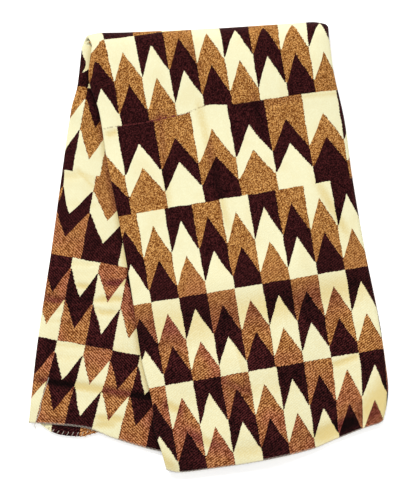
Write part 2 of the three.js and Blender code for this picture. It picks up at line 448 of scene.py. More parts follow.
def ridges(rows, down, share):
    height = 0
    for at, rise, reach, start, end in zip(*rows.values()):
        over = near(share, (start + end) / 2, (end - start) / 2)
        height = height + rise * near(down, at, reach) * over
    return height


def creases(rows, across, down):
    """The height of a half's creases at points of its frame, and the shade painted into their colours.
    """
    height, tint = np.zeros_like(across), np.zeros_like(across)
    for x0, y0, x1, y1, rise, reach, upper, deep in zip(*rows.values()):
        run = np.array([x1 - x0, y1 - y0])
        long = np.hypot(*run)
        t = ((across - x0) * run[0] + (down - y0) * run[1]) / long
        off = ((across - x0) * run[1] - (down - y0) * run[0]) / long
        off = np.where(off > 0, off / upper, -off) / reach
        taper = min(long / CREASE_TAPER["parts"], CREASE_TAPER["reaches"] * reach)
        ends = ease(t / taper) * ease((long - t) / taper)
        shoulder = CREASE_SHOULDER["height"] * near(off, 0, CREASE_SHOULDER["reach"])
        height += rise * (near(off, 0, 1) - shoulder) * ends
        # painted shade along the crease
        tint += deep * near(off, 0, 1) * ends
    return np.maximum(height, -CREASE_DEPTH), np.clip(tint, 0, 1)


def down_at(half, top, hem, share, way, level):
    end = along(hem, "share", "down", share)
    down = mix(top_of(top, share), end, way)
    return down + ease(1 - (end - down) / HEM_EASE) * hem_past(half, level, share)


def plan_on(lean, sides, share, down):
    left, right = sides_at(sides, down)
    return to_plan(lean, mix(left, right, share), down)


def rest_under(plan):
    """How high the front half's underside rests: on the back half, or past it on the floor."""
    across, down = from_plan(BACK_LEAN, plan)
    left, right = sides_at(BACK_SIDES, down)
    share = np.clip((across - left) / (right - left), 0, 1)
    past_side = ease((across - right - DROP_CLEAR) / SIDE_DROP)
    past_hem = ease((down - along(BACK_HEM, "share", "down", share) - DROP_CLEAR) / HEM_DROP)
    return (SIDE_THICK + HALF_GAP) * (1 - past_side) * (1 - past_hem)


def fold_radius(share):
    return along(FOLD_RADII, "share", "radius", share)


def on_front(width, x, z, level, way):
    share = x / width
    down = down_at("front", FRONT_TOP, FRONT_HEM, share, way, level)
    plan = plan_on(FRONT_LEAN, FRONT_SIDES, share, down)
    across, _ = from_plan(FRONT_LEAN, plan)
    crease, tint = creases(FRONT_CREASES, across, down)
    fallen = ease((down - top_of(FRONT_TOP, share)) / FOLD_FALL)
    rest = mix(INNER_THICK + 2 * fold_radius(share), rest_under(plan), fallen)
    lift = ridges(FRONT_RIDGES, down, share) * fallen + crease * np.clip(level - TOP_LEVEL + 1, 0, 1)
    return np.array([*plan, rest + z + lift]), tint


# Painted shade on the back half beside the front half's left side
def shade_beside_front(plan):
    across, down = from_plan(FRONT_LEAN, plan)
    left, _ = sides_at(FRONT_SIDES, down)
    return SHADE_BESIDE_FRONT["tint"] * near(across, left, SHADE_BESIDE_FRONT["reach"])


def on_back(width, x, z, level, way):
    share = x / width
    down = down_at("back", BACK_TOP, BACK_HEM, share, way, level)
    plan = plan_on(BACK_LEAN, BACK_SIDES, share, down)
    across, _ = from_plan(BACK_LEAN, plan)
    crease, tint = creases(BACK_CREASES, across, down)
    upper = 1 - np.clip(level / TOP_LEVEL, 0, 1)
    lift = ridges(BACK_RIDGES, down, share) * upper + crease * np.clip(1 - level, 0, 1)
    thick = thick_at(np.minimum(x, width - x))
    return np.array([*plan, thick - z + lift]), np.maximum(tint, shade_beside_front(plan))


def on_fold(width, x, z, level, way):
    share = x / width
    front = plan_on(FRONT_LEAN, FRONT_SIDES, share, top_of(FRONT_TOP, share))
    back = plan_on(BACK_LEAN, BACK_SIDES, share, top_of(BACK_TOP, share))
    radius = fold_radius(share)
    reach = radius + z + way * (INNER_THICK - thick_at(np.minimum(x, width - x)))
    plan = mix(front, back, way) + FOLD_OUT[:, None] * reach * math.sin(math.pi * way)
    height = INNER_THICK + radius + reach * math.cos(math.pi * way)
    return np.array([*plan, height]), np.zeros_like(share)


def fold_out():
    """The direction in plan in which the cross fold bulges."""
    left = plan_on(FRONT_LEAN, FRONT_SIDES, 0, FRONT_TOP["left"])
    right = plan_on(FRONT_LEAN, FRONT_SIDES, 1, FRONT_TOP["right"])
    line = (right - left) / np.hypot(*(right - left))
    return np.array([-line[1], line[0]])


FOLD_OUT = fold_out()


def weave_on_front(section, width, way):
    """The place in the woven pattern, column and band, of a front station's points."""
    x, _, level = section[:3]
    share = x / width
    down = down_at("front", FRONT_TOP, FRONT_HEM, share, way, level)
    return front_columns(section, width, down), front_band(share, down)


def reached(rule, down):
    """0 where a drift starts and 1 where it is full."""
    return ease((down - rule["start"]) / (rule["full"] - rule["start"]))


def bow(share):
    return along(BOW, "share", "height", share)


def front_band(share, down):
    droop = TOP_DROOP["height"] * ease(1 - share / TOP_DROOP["share"]) * reached(TOP_DROOP, down)
    pucker = PUCKER["height"] * near(share, PUCKER["share"], PUCKER["width"])
    pucker = pucker * near(down, PUCKER["down"], PUCKER["reach"])
    askew = down + bow(share) * reached(BOW_REACH, down) + droop + pucker
    return straight(FRONT_SEAMS, "down", "band", askew)


def front_columns(section, width, down):
    """The columns of a station: "across" on the shown layer, carried on round the folds."""
    x, _, _, length, fold_x = section
    share = x / width
    left, right = sides_at(FRONT_SIDES, down)
    top = TOP_DRIFT["width"] * ease(1 - share / TOP_DRIFT["share"]) * reached(TOP_DRIFT, down)
    first, last = CORNER_DRIFT["share"], CORNER_DRIFT["last"]
    outward = np.clip((share - first) / (last - first), 0, 1)
    corner = CORNER_DRIFT["width"] * outward ** 2 * reached(CORNER_DRIFT, down)
    side = SIDE_DRIFT["width"] * ease((share - SIDE_DRIFT["share"]) / (1 - SIDE_DRIFT["share"]))
    return mix(left, right, (fold_x - length) / width) + top + corner + side


def back_columns(section, width, down):
    """A back station's columns: the wedge's own on level 0, and the front's carried on elsewhere."""
    x, _, level, length, fold_x = section
    share = x / width
    carried = front_columns(section, width, FRONT_TOP["left"])
    shift = LENS_SHIFT["width"] * ease((1 - share) / LENS_SHIFT["share"])
    carried = carried + np.where(level == LONG_LEVEL, shift, 0)
    on_wedge = fold_x + length + math.pi * OUTER_RADIUS
    left, right = sides_at(BACK_SIDES, down)
    wedge = BACK_MIRROR - mix(left, right, on_wedge / width)
    for drifted in (HEM_DRIFT, BACK_TOP_DRIFT):
        wedge = wedge + drifted["width"] * reached(drifted, down)
    at_side = BACK_SIDE_DRIFT["width"] * ease(1 - share / BACK_SIDE_DRIFT["share"])
    wedge = wedge + at_side * near(down, BACK_SIDE_DRIFT["down"], BACK_SIDE_DRIFT["reach"])
    joined = ease((share - BACK_JOIN) / (1 - BACK_JOIN))
    return np.where(level == 0, mix(wedge, carried, joined), carried)


def weave_on_fold(section, width, way):
    x, z, level = section[:3]
    share = x / width
    start = front_band(share, top_of(FRONT_TOP, share))
    end = straight(BACK_SEAMS, "down", "band", top_of(BACK_TOP, share))
    arc = math.pi * (fold_radius(share) + z) / BAND_HEIGHT
    column = front_columns(section, width, top_of(FRONT_TOP, share))
    column = mix(column, back_columns(section, width, top_of(BACK_TOP, share)), way)
    slip = BOW_SLIP * bow(share) * ease(2 * way) * ease(2 - 2 * way)
    return column, mix(mix(start, end, way), start + arc * way + slip, level / TOP_LEVEL)


def weave_on_back(section, width, way):
    x, z, level = section[:3]
    share = x / width
    down = down_at("back", BACK_TOP, BACK_HEM, share, way, level)
    top = top_of(BACK_TOP, share)
    start = front_band(share, top_of(FRONT_TOP, share))
    end = straight(BACK_SEAMS, "down", "band", top)
    arc = math.pi * (fold_radius(share) + z) / BAND_HEIGHT
    slip = (start + arc - end) * level / TOP_LEVEL
    band = straight(BACK_SEAMS, "down", "band", down) + slip * (1 - ease((down - top) / BACK_SETTLE))
    return back_columns(section, width, down), band


def stations():
    """The strip from the front hem over the cross fold to the back hem: how each station's points are
    put, how they are woven, and its way."""
    rows = [(on_front, weave_on_front, way) for way in ways(FRONT_STATIONS)[:0:-1]]
    rows += [(on_fold, weave_on_fold, i / FOLD_STEPS) for i in range(FOLD_STEPS)]
    return rows + [(on_back, weave_on_back, way) for way in ways(BACK_STATIONS)]


def ways(rows):
    return np.interp(np.arange(rows["count"][-1] + 1), rows["count"], rows["way"])


def cloth_sheet():
    """The cloth's points by station, side and place in the section, with their weave and painted shade.
    """
    points, weaves, painted_shades = [], [], []
    for put, weave, way in stations():
        sides = put(1.0, np.array([0.0, 1.0]), np.zeros(2), np.zeros(2), way)[0]
        width = np.hypot(*(sides[:2, 1] - sides[:2, 0]))
        section = section_of(width)
        x, z, level = section[:3]
        column, band = weave(section, width, way)
        for sign in (1, -1):
            side_x, side_z = side_of(x, z, sign)
            place, tint = put(width, side_x, side_z, level, way)
            points.append(place.T)
            weaves.append(np.array([column / BAND_HEIGHT, band]).T)
            painted_shades.append(tint)
    count = len(points[0])
    places = np.array(points).reshape(-1, 2, count, 3)
    return places, np.array(weaves).reshape(-1, 2), np.array(painted_shades).ravel()


def sheet_faces(rows, count):
    """A closed sheet's faces: its face, its reverse, and the rims between them, all pointing out."""
    index = np.arange(rows * 2 * count).reshape(rows, 2, count)
    face, reverse = index[:, 0], index[:, 1]

    def grid(a, b, c, d):
        return np.stack([a, b, c, d], axis=-1).reshape(-1, 4)

    return np.concatenate([
        grid(face[:-1, :-1], face[1:, :-1], face[1:, 1:], face[:-1, 1:]),
        grid(reverse[:-1, 1:], reverse[1:, 1:], reverse[1:, :-1], reverse[:-1, :-1]),
        grid(face[:-1, 0], reverse[:-1, 0], reverse[1:, 0], face[1:, 0]),
        grid(face[:-1, -1], face[1:, -1], reverse[1:, -1], reverse[:-1, -1]),
        grid(face[0, :-1], face[0, 1:], reverse[0, 1:], reverse[0, :-1]),
        grid(face[-1, :-1], reverse[-1, :-1], reverse[-1, 1:], face[-1, 1:]),
    ])


def made_mesh(name, vertices, faces):
    mesh = bpy.data.meshes.new(name)
    mesh.from_pydata((vertices * MM).tolist(), [], faces.tolist())
    mesh.update()
    return mesh


def kente_cloth(points, weave, tint):
    rows, _, count, _ = points.shape
    mesh = made_mesh("folded_cloth", points.reshape(-1, 3), sheet_faces(rows, count))
    mesh.polygons.foreach_set("use_smooth", np.ones(len(mesh.polygons), bool))
    mesh.set_sharp_from_angle(angle=math.radians(SHARP_ANGLE))
    corners = np.zeros(len(mesh.loops), np.int32)
    mesh.loops.foreach_get("vertex_index", corners)
    uv = mesh.uv_layers.new(name="weave")
    uv.uv.foreach_set("vector", weave[corners].astype(np.float32).ravel())
    # The shade painted into the colours, kept as the crease attribute
    mesh.attributes.new("crease", "FLOAT", "POINT").data.foreach_set("value", tint.astype(np.float32))
    cloth = bpy.data.objects.new("folded_cloth", mesh)
    bpy.context.collection.objects.link(cloth)
    return cloth


# Shader nodes
WHITE = (1, 1, 1, 1)
MATT = 0.9
NOISE_DETAIL = 1


def linear(red, green, blue):
    """A colour given as 0 to 255 on a screen, as the shader's own linear colour."""
    def channel(value):
        value = value / 255
        return value / 12.92 if value <= 0.04045 else ((value + 0.055) / 1.055) ** 2.4

    return (channel(red), channel(green), channel(blue), 1)


class Field:
    """A number that varies over the cloth: the output of a node. Sums and products of fields make more
    nodes."""

    def __init__(self, tree, socket):
        self.tree = tree
        self.socket = socket

    def math(self, operation, *others):
        made = self.tree.nodes.new("ShaderNodeMath")
        made.operation = operation
        for socket, value in zip(made.inputs, (self, *others)):
            feed(self.tree, socket, value)
        return Field(self.tree, made.outputs[0])

    def __add__(self, other):
        return self.math("ADD", other)

    def __sub__(self, other):
        return self.math("SUBTRACT", other)

    def __mul__(self, other):
        return self.math("MULTIPLY", other)

    def __truediv__(self, other):
        return self.math("DIVIDE", other)

    def __lt__(self, other):
        return self.math("LESS_THAN", other)

    def __gt__(self, other):
        return self.math("GREATER_THAN", other)

    def part(self):
        return self.math("FRACT")

    def whole(self):
        return self.math("FLOOR")

    def between(self, low, high):
        """0 at low and 1 at high, clamped."""
        made = self.tree.nodes.new("ShaderNodeMapRange")
        made.interpolation_type = "SMOOTHSTEP"
        for name, value in (("Value", self), ("From Min", low), ("From Max", high)):
            feed(self.tree, made.inputs[name], value)
        return Field(self.tree, made.outputs[0])


def feed(tree, socket, value):
    if isinstance(value, Field):
        tree.links.new(value.socket, socket)
    elif isinstance(value, bpy.types.NodeSocket):
        tree.links.new(value, socket)
    else:
        socket.default_value = value


def choose(field, low, high):
    """Low where the field is 0 and high where it is 1: numbers or fields."""
    tree = next(value.tree for value in (field, low, high) if isinstance(value, Field))
    made = tree.nodes.new("ShaderNodeMix")
    for name, value in (("Factor", field), ("A", low), ("B", high)):
        feed(tree, made.inputs[name], value)
    return Field(tree, made.outputs[0])


def blend(field, low, high, way="MIX"):
    """The same for colours."""
    made = field.tree.nodes.new("ShaderNodeMix")
    made.data_type = "RGBA"
    made.blend_type = way
    feed(field.tree, made.inputs[0], field)
    feed(field.tree, made.inputs[6], low)
    feed(field.tree, made.inputs[7], high)
    return made.outputs[2]


def place_of(tree, *fields):
    made = tree.nodes.new("ShaderNodeCombineXYZ")
    for socket, value in zip(made.inputs, fields):
        feed(tree, socket, value)
    return made.outputs[0]


def noise(tree, place, scale):
    made = tree.nodes.new("ShaderNodeTexNoise")
    made.noise_dimensions = "2D"
    feed(tree, made.inputs["Vector"], place)
    made.inputs["Scale"].default_value = scale
    made.inputs["Detail"].default_value = NOISE_DETAIL
    return Field(tree, made.outputs["Fac"])


def speckle(tree, *fields):
    """A random number for each yarn float, from its row and its place in the row."""
    made = tree.nodes.new("ShaderNodeTexWhiteNoise")
    made.noise_dimensions = "2D"
    feed(tree, made.inputs["Vector"], place_of(tree, *fields))
    return Field(tree, made.outputs["Value"])


def matt_material(name, colour):
    material = bpy.data.materials.new(name)
    material.use_nodes = True
    shader = material.node_tree.nodes["Principled BSDF"]
    shader.inputs["Base Color"].default_value = colour
    shader.inputs["Roughness"].default_value = MATT
    return material


# The pattern's columns: pitch and start in millimetres, and the count of the first one
COLUMN = {"pitch": 32.3, "start": -74.6, "count": 3}
WIDE_FRONT_COLUMN = {"pitch": 42.9, "start": -80.4, "count": 1}
WIDE_BACK_COLUMN = {"pitch": 44.0, "start": 356.6, "count": 1}
BACK_COLUMN = {"pitch": 32.3, "start": -88.4, "count": 3}
BACK_COLUMNS_FROM = 250  # the back half's columns above its wide band follow that rule
WIDE_BANDS = (3, 7)
# Where a column's two colour steps lie, as shares of a band's height, at its middle and at its sides
STEPS = {"upper": (0.165, 0.515), "lower": (0.55, 0.885)}
WIDE_STEPS = {"upper": (0.225, 0.575), "lower": (0.50, 0.825)}
TIP_BLUNT = 0.025
YARNS = 3

# The yarns' colours; deep cream is also the colour of cream's painted shade
CREAM = {"plain": linear(224, 220, 183), "deep": linear(206, 184, 118)}
BROWN = {"light": linear(179, 125, 65), "dark": linear(100, 53, 17), "bright": linear(232, 181, 112)}
DARK = {"plain": linear(17, 0, 1), "light": linear(98, 42, 42)}
# What they are multiplied by as painted shade: brown gone redder in patches, brown and dark in creases
# and beside the front half's side, and dark also in patches
SHADE_REDDER = (0.88, 0.62, 1.1, 1)
CREASE_SHADE = (0.44, 0.26, 0.48, 1)
SHADE_BLACKENED = (0.12, 0.12, 0.12, 1)

# The twill's ribs, turned one way on the front half and the other way from a band past the cross fold on
TWILL_PITCH = 2.5
TWILL_TURN = {"front": 28, "back": -37}
TWILL_BACK_FROM = 5.6
RIB_WANDER = {"scale": 0.02, "turns": 0.6}
# Flecks of yarn where the cloth lies smooth, and larger ones along the ribs where those stand out: the
# size of a fleck, how much the ribs count in it, and from where to where yarn turns light, then bright
SMOOTH = {"fleck": 0.8, "ribs": 0.1, "light": (0.3, 0.7), "bright": (0.76, 0.86)}
RIBBED = {"fleck": 1.15, "ribs": 0.42, "light": (0.45, 0.55), "bright": (0.7, 0.76)}
# The bands over which the ribs come to stand out
RIBBED_FRONT = (2.6, 1.6)
RIBBED_BACK = (6.6, 8.2)

# Painted shade in patches of the ribbed cloth, more so on the left, at the front hem and on the back
# half
PATCH = {"scale": 0.02, "range": (0.35, 0.65)}
PATCHY_SHADE = {"least": 0.3, "patch": 0.6}
PATCHY_SHADE_SIDE = {"columns": (130, -20), "bands": (1, 0.3), "least": 0.4, "more": 0.6}

# How far borders wander, in millimetres across and in bands, and step at the scale of the yarn
WANDER = {"scale": 0.05, "bands": 0.02}
WANDER_ACROSS = {"scale": 0.045, "width": 2.0}
JAG = {"width": 0.6, "bands": 0.005}

# How much deeper cream is between its yarns, and more so in creases as painted shade; and how far cream
# goes deeper as painted shade in patches, in the ribbed cloth's shaded patches and in creases
CREAM_GAPS = {"smooth": 0.15, "ribbed": 0.07, "creased": 0.4}
CREAM_PATCH_SHADE = {"scale": 0.03, "range": (0.45, 0.75), "deep": 0.2}
CREAM_PATCHY_SHADE = 0.2
CREAM_CREASE_SHADE = 0.8
# How much of the light colours shows in brown's bright flecks and in dark yarn
BROWN_BRIGHT = 0.5
DARK_FLECKS = {"smooth": 0.25, "ribbed": 0.1, "bright": 0.25}
# How far dark yarn goes blacker in patches of the ribbed cloth, as painted shade
DARK_PATCH_SHADE = 0.45

# A drawn line of pulled yarns along part of one seam of the front half, with gaps, and how much of it
# shows on cream and on dark
DRAWN = {"band": 4.0, "half": 0.009, "from": -98, "to": 24, "gaps": 0.35, "cream": 0.35, "dark": 0.6}

WEAVE_BUMP = {"strength": 0.5, "height": 0.25}
WEAVE_FINISH = {
    "Roughness": 0.85,
    "Specular IOR Level": 0.05,
    "Sheen Weight": 0.02,
    "Sheen Roughness": 0.5,
}


def woven_colour(column, band):
    """Which yarn shows: the fields that are 1 on brown and on dark. Elsewhere it is cream."""
    row = band.whole()
    wide_front = row.math("COMPARE", WIDE_BANDS[0], 0.5)
    wide_back = row.math("COMPARE", WIDE_BANDS[1], 0.5)
    wide = wide_front + wide_back

    def counted(rule):
        return (column - rule["start"]) / rule["pitch"] + rule["count"]

    upper_back = (column > BACK_COLUMNS_FROM) * (row < WIDE_BANDS[1])
    count = choose(upper_back, counted(COLUMN), counted(BACK_COLUMN))
    count = choose(wide_front, count, counted(WIDE_FRONT_COLUMN))
    count = choose(wide_back, count, counted(WIDE_BACK_COLUMN))
    aside = ((count.part() - 0.5) * 2).math("ABSOLUTE")
    fall = (band.part() * -1) + 1

    def step(name):
        middle = choose(wide, STEPS[name][0], WIDE_STEPS[name][0])
        side = choose(wide, STEPS[name][1], WIDE_STEPS[name][1])
        edge = (middle + (side - middle) * aside).math("MINIMUM", side - TIP_BLUNT)
        return fall > edge

    level = step("upper") + step("lower")
    colour = ((level - count.whole()) / YARNS).part() * YARNS
    return colour.math("COMPARE", 1, 0.5), colour > 1.5


def sheet_fields(tree):
    """Where a point of the sheet lies in the weave, column and band, and how much shade is painted into
    its colour.
    """
    uv = tree.nodes.new("ShaderNodeUVMap")
    uv.uv_map = "weave"
    split = tree.nodes.new("ShaderNodeSeparateXYZ")
    tree.links.new(uv.outputs[0], split.inputs[0])
    crease = tree.nodes.new("ShaderNodeAttribute")
    # the crease attribute: shade painted into the colours
    crease.attribute_name = "crease"
    column = Field(tree, split.outputs[0]) * BAND_HEIGHT
    return column, Field(tree, split.outputs[1]), Field(tree, crease.outputs["Fac"])


def twill(tree, column, run, on_back):
    """The ribs, 0 between them and 1 on top, and the flecks of yarn that lie along them."""
    turns = {half: math.radians(turn) for half, turn in TWILL_TURN.items()}
    sine = choose(on_back, math.sin(turns["front"]), math.sin(turns["back"]))
    cosine = choose(on_back, math.cos(turns["front"]), math.cos(turns["back"]))
    over = run * cosine - column * sine
    beside = run * sine + column * cosine
    wander = noise(tree, place_of(tree, column, run), RIB_WANDER["scale"]) * RIB_WANDER["turns"]
    rib = ((over / TWILL_PITCH + wander) * math.tau).math("COSINE") * -0.5 + 0.5
    return rib, speckle(tree, (over / RIBBED["fleck"]).whole(), (beside / RIBBED["fleck"]).whole())


def kente_weave():
    """Cotton twill in cream, flecked gold brown and near-black brown, with shade painted into its
    colours.
    """
    material = bpy.data.materials.new("kente_weave")
    material.use_nodes = True
    tree = material.node_tree
    tree.nodes.clear()
    column, band, crease = sheet_fields(tree)
    run = band * BAND_HEIGHT
    place = place_of(tree, column, run)
    turned_place = place_of(tree, run, column)
    on_back = band > TWILL_BACK_FROM
    rib, rib_fleck = twill(tree, column, run, on_back)
    fleck = speckle(tree, (run / SMOOTH["fleck"]).whole(), (column / SMOOTH["fleck"]).whole())

    # From dark to light yarn, and the few bright flecks
    lower = band.between(*RIBBED_FRONT).math("MAXIMUM", band.between(*RIBBED_BACK))
    smooth = choose(SMOOTH["ribs"], fleck, rib)
    ribbed = choose(RIBBED["ribs"], rib_fleck, rib)
    tone = choose(lower, smooth.between(*SMOOTH["light"]), ribbed.between(*RIBBED["light"]))
    bright = choose(lower, smooth.between(*SMOOTH["bright"]), ribbed.between(*RIBBED["bright"]))

    # Painted shade in patches of the ribbed bands: brown redder, cream deeper and dark blacker
    patch = noise(tree, place, PATCH["scale"]).between(*PATCH["range"])
    shaded_side = column.between(*PATCHY_SHADE_SIDE["columns"]).math("MAXIMUM", on_back)
    shaded_side = shaded_side.math("MAXIMUM", band.between(*PATCHY_SHADE_SIDE["bands"]))
    patchy_shade = lower * (patch * PATCHY_SHADE["patch"] + PATCHY_SHADE["least"])
    patchy_shade = patchy_shade * (shaded_side * PATCHY_SHADE_SIDE["more"] + PATCHY_SHADE_SIDE["least"])

    wander = noise(tree, place, WANDER["scale"]) - 0.5
    wander_across = noise(tree, turned_place, WANDER_ACROSS["scale"]) - 0.5
    jag = tone - 0.5
    uneven_band = band + wander * WANDER["bands"] + jag * JAG["bands"]
    brown, dark = woven_colour(
        column + wander_across * WANDER_ACROSS["width"] + jag * JAG["width"],
        uneven_band.math("MAXIMUM", FIRST_BAND).math("MINIMUM", LAST_BAND),
    )
    drawn = (band - DRAWN["band"]).math("ABSOLUTE") < DRAWN["half"]
    drawn = drawn * (column > DRAWN["from"]) * (column < DRAWN["to"]) * (rib_fleck > DRAWN["gaps"])

    # Cream: deeper between its yarns, and painted shade in creases, beside the front half's side and in
    # patches
    gaps = crease * CREAM_GAPS["creased"] + lower * CREAM_GAPS["ribbed"] + CREAM_GAPS["smooth"]
    # soft painted shade of cream in patches
    cream_patch_shade = noise(tree, turned_place, CREAM_PATCH_SHADE["scale"]).between(*CREAM_PATCH_SHADE["range"])
    deep = crease.math("MAXIMUM", patchy_shade * CREAM_PATCHY_SHADE).math("MAXIMUM", cream_patch_shade * CREAM_PATCH_SHADE["deep"])
    cream_look = blend(deep * CREAM_CREASE_SHADE, CREAM["plain"], CREAM["deep"])
    cream_look = blend((tone * -1 + 1) * gaps, cream_look, CREAM["deep"])
    cream_look = blend(drawn * DRAWN["cream"], cream_look, BROWN["dark"])

    brown_look = blend(tone, BROWN["dark"], BROWN["light"])
    brown_look = blend(bright * BROWN_BRIGHT, brown_look, BROWN["bright"])
    # painted shade in patches
    brown_look = blend(patchy_shade, brown_look, SHADE_REDDER, "MULTIPLY")
    # painted shade in creases and beside the front half's side
    brown_look = blend(crease, brown_look, CREASE_SHADE, "MULTIPLY")
    brown_look = blend(drawn, brown_look, DARK["light"])

    light = tone * (lower * DARK_FLECKS["ribbed"] + DARK_FLECKS["smooth"])
    light = light + bright * DARK_FLECKS["bright"]
    dark_look = blend(light, DARK["plain"], DARK["light"])
    # dark yarn goes blacker as painted shade, in creases, beside the front half's side and in patches
    dark_shade = crease.math("MAXIMUM", lower * patch * DARK_PATCH_SHADE)
    dark_look = blend(dark_shade, dark_look, SHADE_BLACKENED, "MULTIPLY")
    dark_look = blend(drawn * DRAWN["dark"], dark_look, DARK["light"])

    bump = tree.nodes.new("ShaderNodeBump")
    bump.inputs["Strength"].default_value = WEAVE_BUMP["strength"]
    bump.inputs["Distance"].default_value = WEAVE_BUMP["height"] * MM
    feed(tree, bump.inputs["Height"], tone - drawn)
    shader = tree.nodes.new("ShaderNodeBsdfPrincipled")
    for name, value in WEAVE_FINISH.items():
        shader.inputs[name].default_value = value
    colour = blend(dark, blend(brown, cream_look, brown_look), dark_look)
    tree.links.new(colour, shader.inputs["Base Color"])
    tree.links.new(bump.outputs[0], shader.inputs["Normal"])
    out = tree.nodes.new("ShaderNodeOutputMaterial")
    tree.links.new(shader.outputs[0], out.inputs[0])
    return material


# Overlock sewing: a thread wound round the raw hems, and a loose end of it
OVERLOCK = {"Pitch": 1.6, "Bite": 1.5, "Past": 0.8, "Thread": 0.32}
LONG_OVERLOCK = {"Pitch": 5.5, "Bite": 5.0, "Past": 0.5, "Thread": 0.36}  # on the second layer
LOOSE_END = table(
    "across down",
    (-153, 180),
    (-154.5, 192),
    (-156.5, 209),
    (-156, 221),
    (-159, 235),
    (-157, 241),
)
LOOSE_STEPS = 40
TURN_STEPS = 9
THREAD_SIDES = 4
STRIP_WIDTH = 270  # about, to tell which points of a hem are which
# The thread's colours, greyer than the pale thread itself: partly painted shade, for its shadow along
# the hem
THREAD_COLOUR = {"deep": linear(160, 150, 136), "light": linear(204, 195, 181)}
THREAD_UNEVEN = 900


def node(tree, kind, **values):
    """A node with its inputs set or linked by name, a space in a name written as _."""
    made = tree.nodes.new(kind)
    for name, value in values.items():
        feed(tree, made.inputs[name.replace("_", " ")], value)
    return made


def overlock_tree(material):
    """Stitches on a hem: one turn of thread for each, set square to the hem by its "out" and "up"."""
    tree = bpy.data.node_groups.new("overlock", "GeometryNodeTree")
    tree.interface.new_socket("Hem", in_out="INPUT", socket_type="NodeSocketGeometry")
    for name in (*OVERLOCK, "Rise"):
        tree.interface.new_socket(name, in_out="INPUT", socket_type="NodeSocketFloat")
    tree.interface.new_socket("Stitches", in_out="OUTPUT", socket_type="NodeSocketGeometry")
    given = tree.nodes.new("NodeGroupInput").outputs
    pitch, bite, past = (Field(tree, given[name]) for name in ("Pitch", "Bite", "Past"))

    turn = node(
        tree, "GeometryNodeCurveSpiral", Resolution=TURN_STEPS, Rotations=1, Height=given["Pitch"],
        Start_Radius=1, End_Radius=1,
    )
    laid = node(
        tree, "GeometryNodeTransform", Geometry=turn.outputs[0], Rotation=(0, math.pi / 2, 0),
        Scale=place_of(tree, given["Rise"], (bite + past) / 2, 1),
        Translation=place_of(tree, pitch / -2, (past - bite) / 2, 0),
    )
    ring = node(
        tree, "GeometryNodeCurvePrimitiveCircle", Resolution=THREAD_SIDES, Radius=given["Thread"],
    )
    stitch = node(
        tree, "GeometryNodeCurveToMesh", Curve=laid.outputs[0], Profile_Curve=ring.outputs[0],
        Fill_Caps=True,
    )

    hem = node(tree, "GeometryNodeMeshToCurve", Mesh=given["Hem"])
    spaced = tree.nodes.new("GeometryNodeResampleCurve")
    spaced.mode = "LENGTH"
    feed(tree, spaced.inputs["Curve"], hem.outputs[0])
    feed(tree, spaced.inputs["Length"], given["Pitch"])
    square = tree.nodes.new("FunctionNodeAxesToRotation")
    square.primary_axis = "Z"
    square.secondary_axis = "Y"
    for axis, name in (("Primary Axis", "up"), ("Secondary Axis", "out")):
        along_hem = tree.nodes.new("GeometryNodeInputNamedAttribute")
        along_hem.data_type = "FLOAT_VECTOR"
        along_hem.inputs["Name"].default_value = name
        tree.links.new(along_hem.outputs["Attribute"], square.inputs[axis])
    sewn = node(
        tree, "GeometryNodeInstanceOnPoints", Points=spaced.outputs[0], Instance=stitch.outputs[0],
        Rotation=square.outputs[0],
    )
    whole = node(tree, "GeometryNodeRealizeInstances", Geometry=sewn.outputs[0])
    smooth = node(tree, "GeometryNodeSetShadeSmooth", Geometry=whole.outputs[0])
    coloured = node(tree, "GeometryNodeSetMaterial", Geometry=smooth.outputs[0], Material=material)
    tree.links.new(coloured.outputs[0], tree.nodes.new("NodeGroupOutput").inputs[0])
    return tree


def hem_paths(edge, inner):
    """The middle of a hem's edge, its outward and its upward direction, from its last two stations."""
    middle = edge.mean(axis=0)
    out = middle - inner.mean(axis=0)
    up = edge[0] - edge[1]
    return middle, out / np.linalg.norm(out, axis=1)[:, None], up / np.linalg.norm(up, axis=1)[:, None]


def sewn_hem(name, tree, runs, stitch):
    """The stitches along runs of hem points, each a list of middle, out and up."""
    middle, out, up = (np.concatenate(part) for part in zip(*runs))
    ends = np.cumsum([len(run[0]) for run in runs])
    edges = [(i, i + 1) for i in range(len(middle) - 1) if i + 1 not in ends]
    path = bpy.data.meshes.new(name)
    path.from_pydata((middle * MM).tolist(), edges, [])
    for attribute, values in (("out", out), ("up", up)):
        along_hem = path.attributes.new(attribute, "FLOAT_VECTOR", "POINT")
        along_hem.data.foreach_set("vector", values.ravel())
    hem = bpy.data.objects.new(name, path)
    bpy.context.collection.objects.link(hem)
    sewing = hem.modifiers.new("overlock", "NODES")
    sewing.node_group = tree
    sizes = {**stitch, "Rise": CLOTH_THICK / 2 + stitch["Thread"]}
    for item in tree.interface.items_tree:
        if item.name in sizes:
            sewing[item.identifier] = sizes[item.name] * MM
    seen = hem.evaluated_get(bpy.context.evaluated_depsgraph_get())
    stitches = bpy.data.meshes.new_from_object(seen)
    hem.modifiers.remove(sewing)
    hem.data = stitches
    return hem


def clear_runs(paths, wanted):
    """The stretches of a hem's points that are wanted."""
    cuts = np.flatnonzero(np.diff(wanted)) + 1
    pieces = np.split(np.arange(len(wanted)), cuts)
    return [[path[piece] for path in paths] for piece in pieces if wanted[piece[0]] and len(piece) > 1]


def overlock(points, material):
    """The stitches on both hems. Where a hem lies on the floor it has none."""
    tree = overlock_tree(material)
    x, _, level = section_of(STRIP_WIDTH)[:3]
    long_part = (level == LONG_LEVEL) & (x < LENS_WAY * STRIP_WIDTH)
    clear = CLOTH_THICK / 2 + 2 * OVERLOCK["Thread"]
    front = hem_paths(points[0], points[1])
    back = hem_paths(points[-1], points[-2])
    usual = clear_runs(front, front[0][:, 2] > clear)
    usual += clear_runs(back, (back[0][:, 2] > clear) & ~long_part)
    return [
        sewn_hem("hem_stitches", tree, usual, OVERLOCK),
        sewn_hem("long_stitches", tree, clear_runs(back, long_part), LONG_OVERLOCK),
    ]


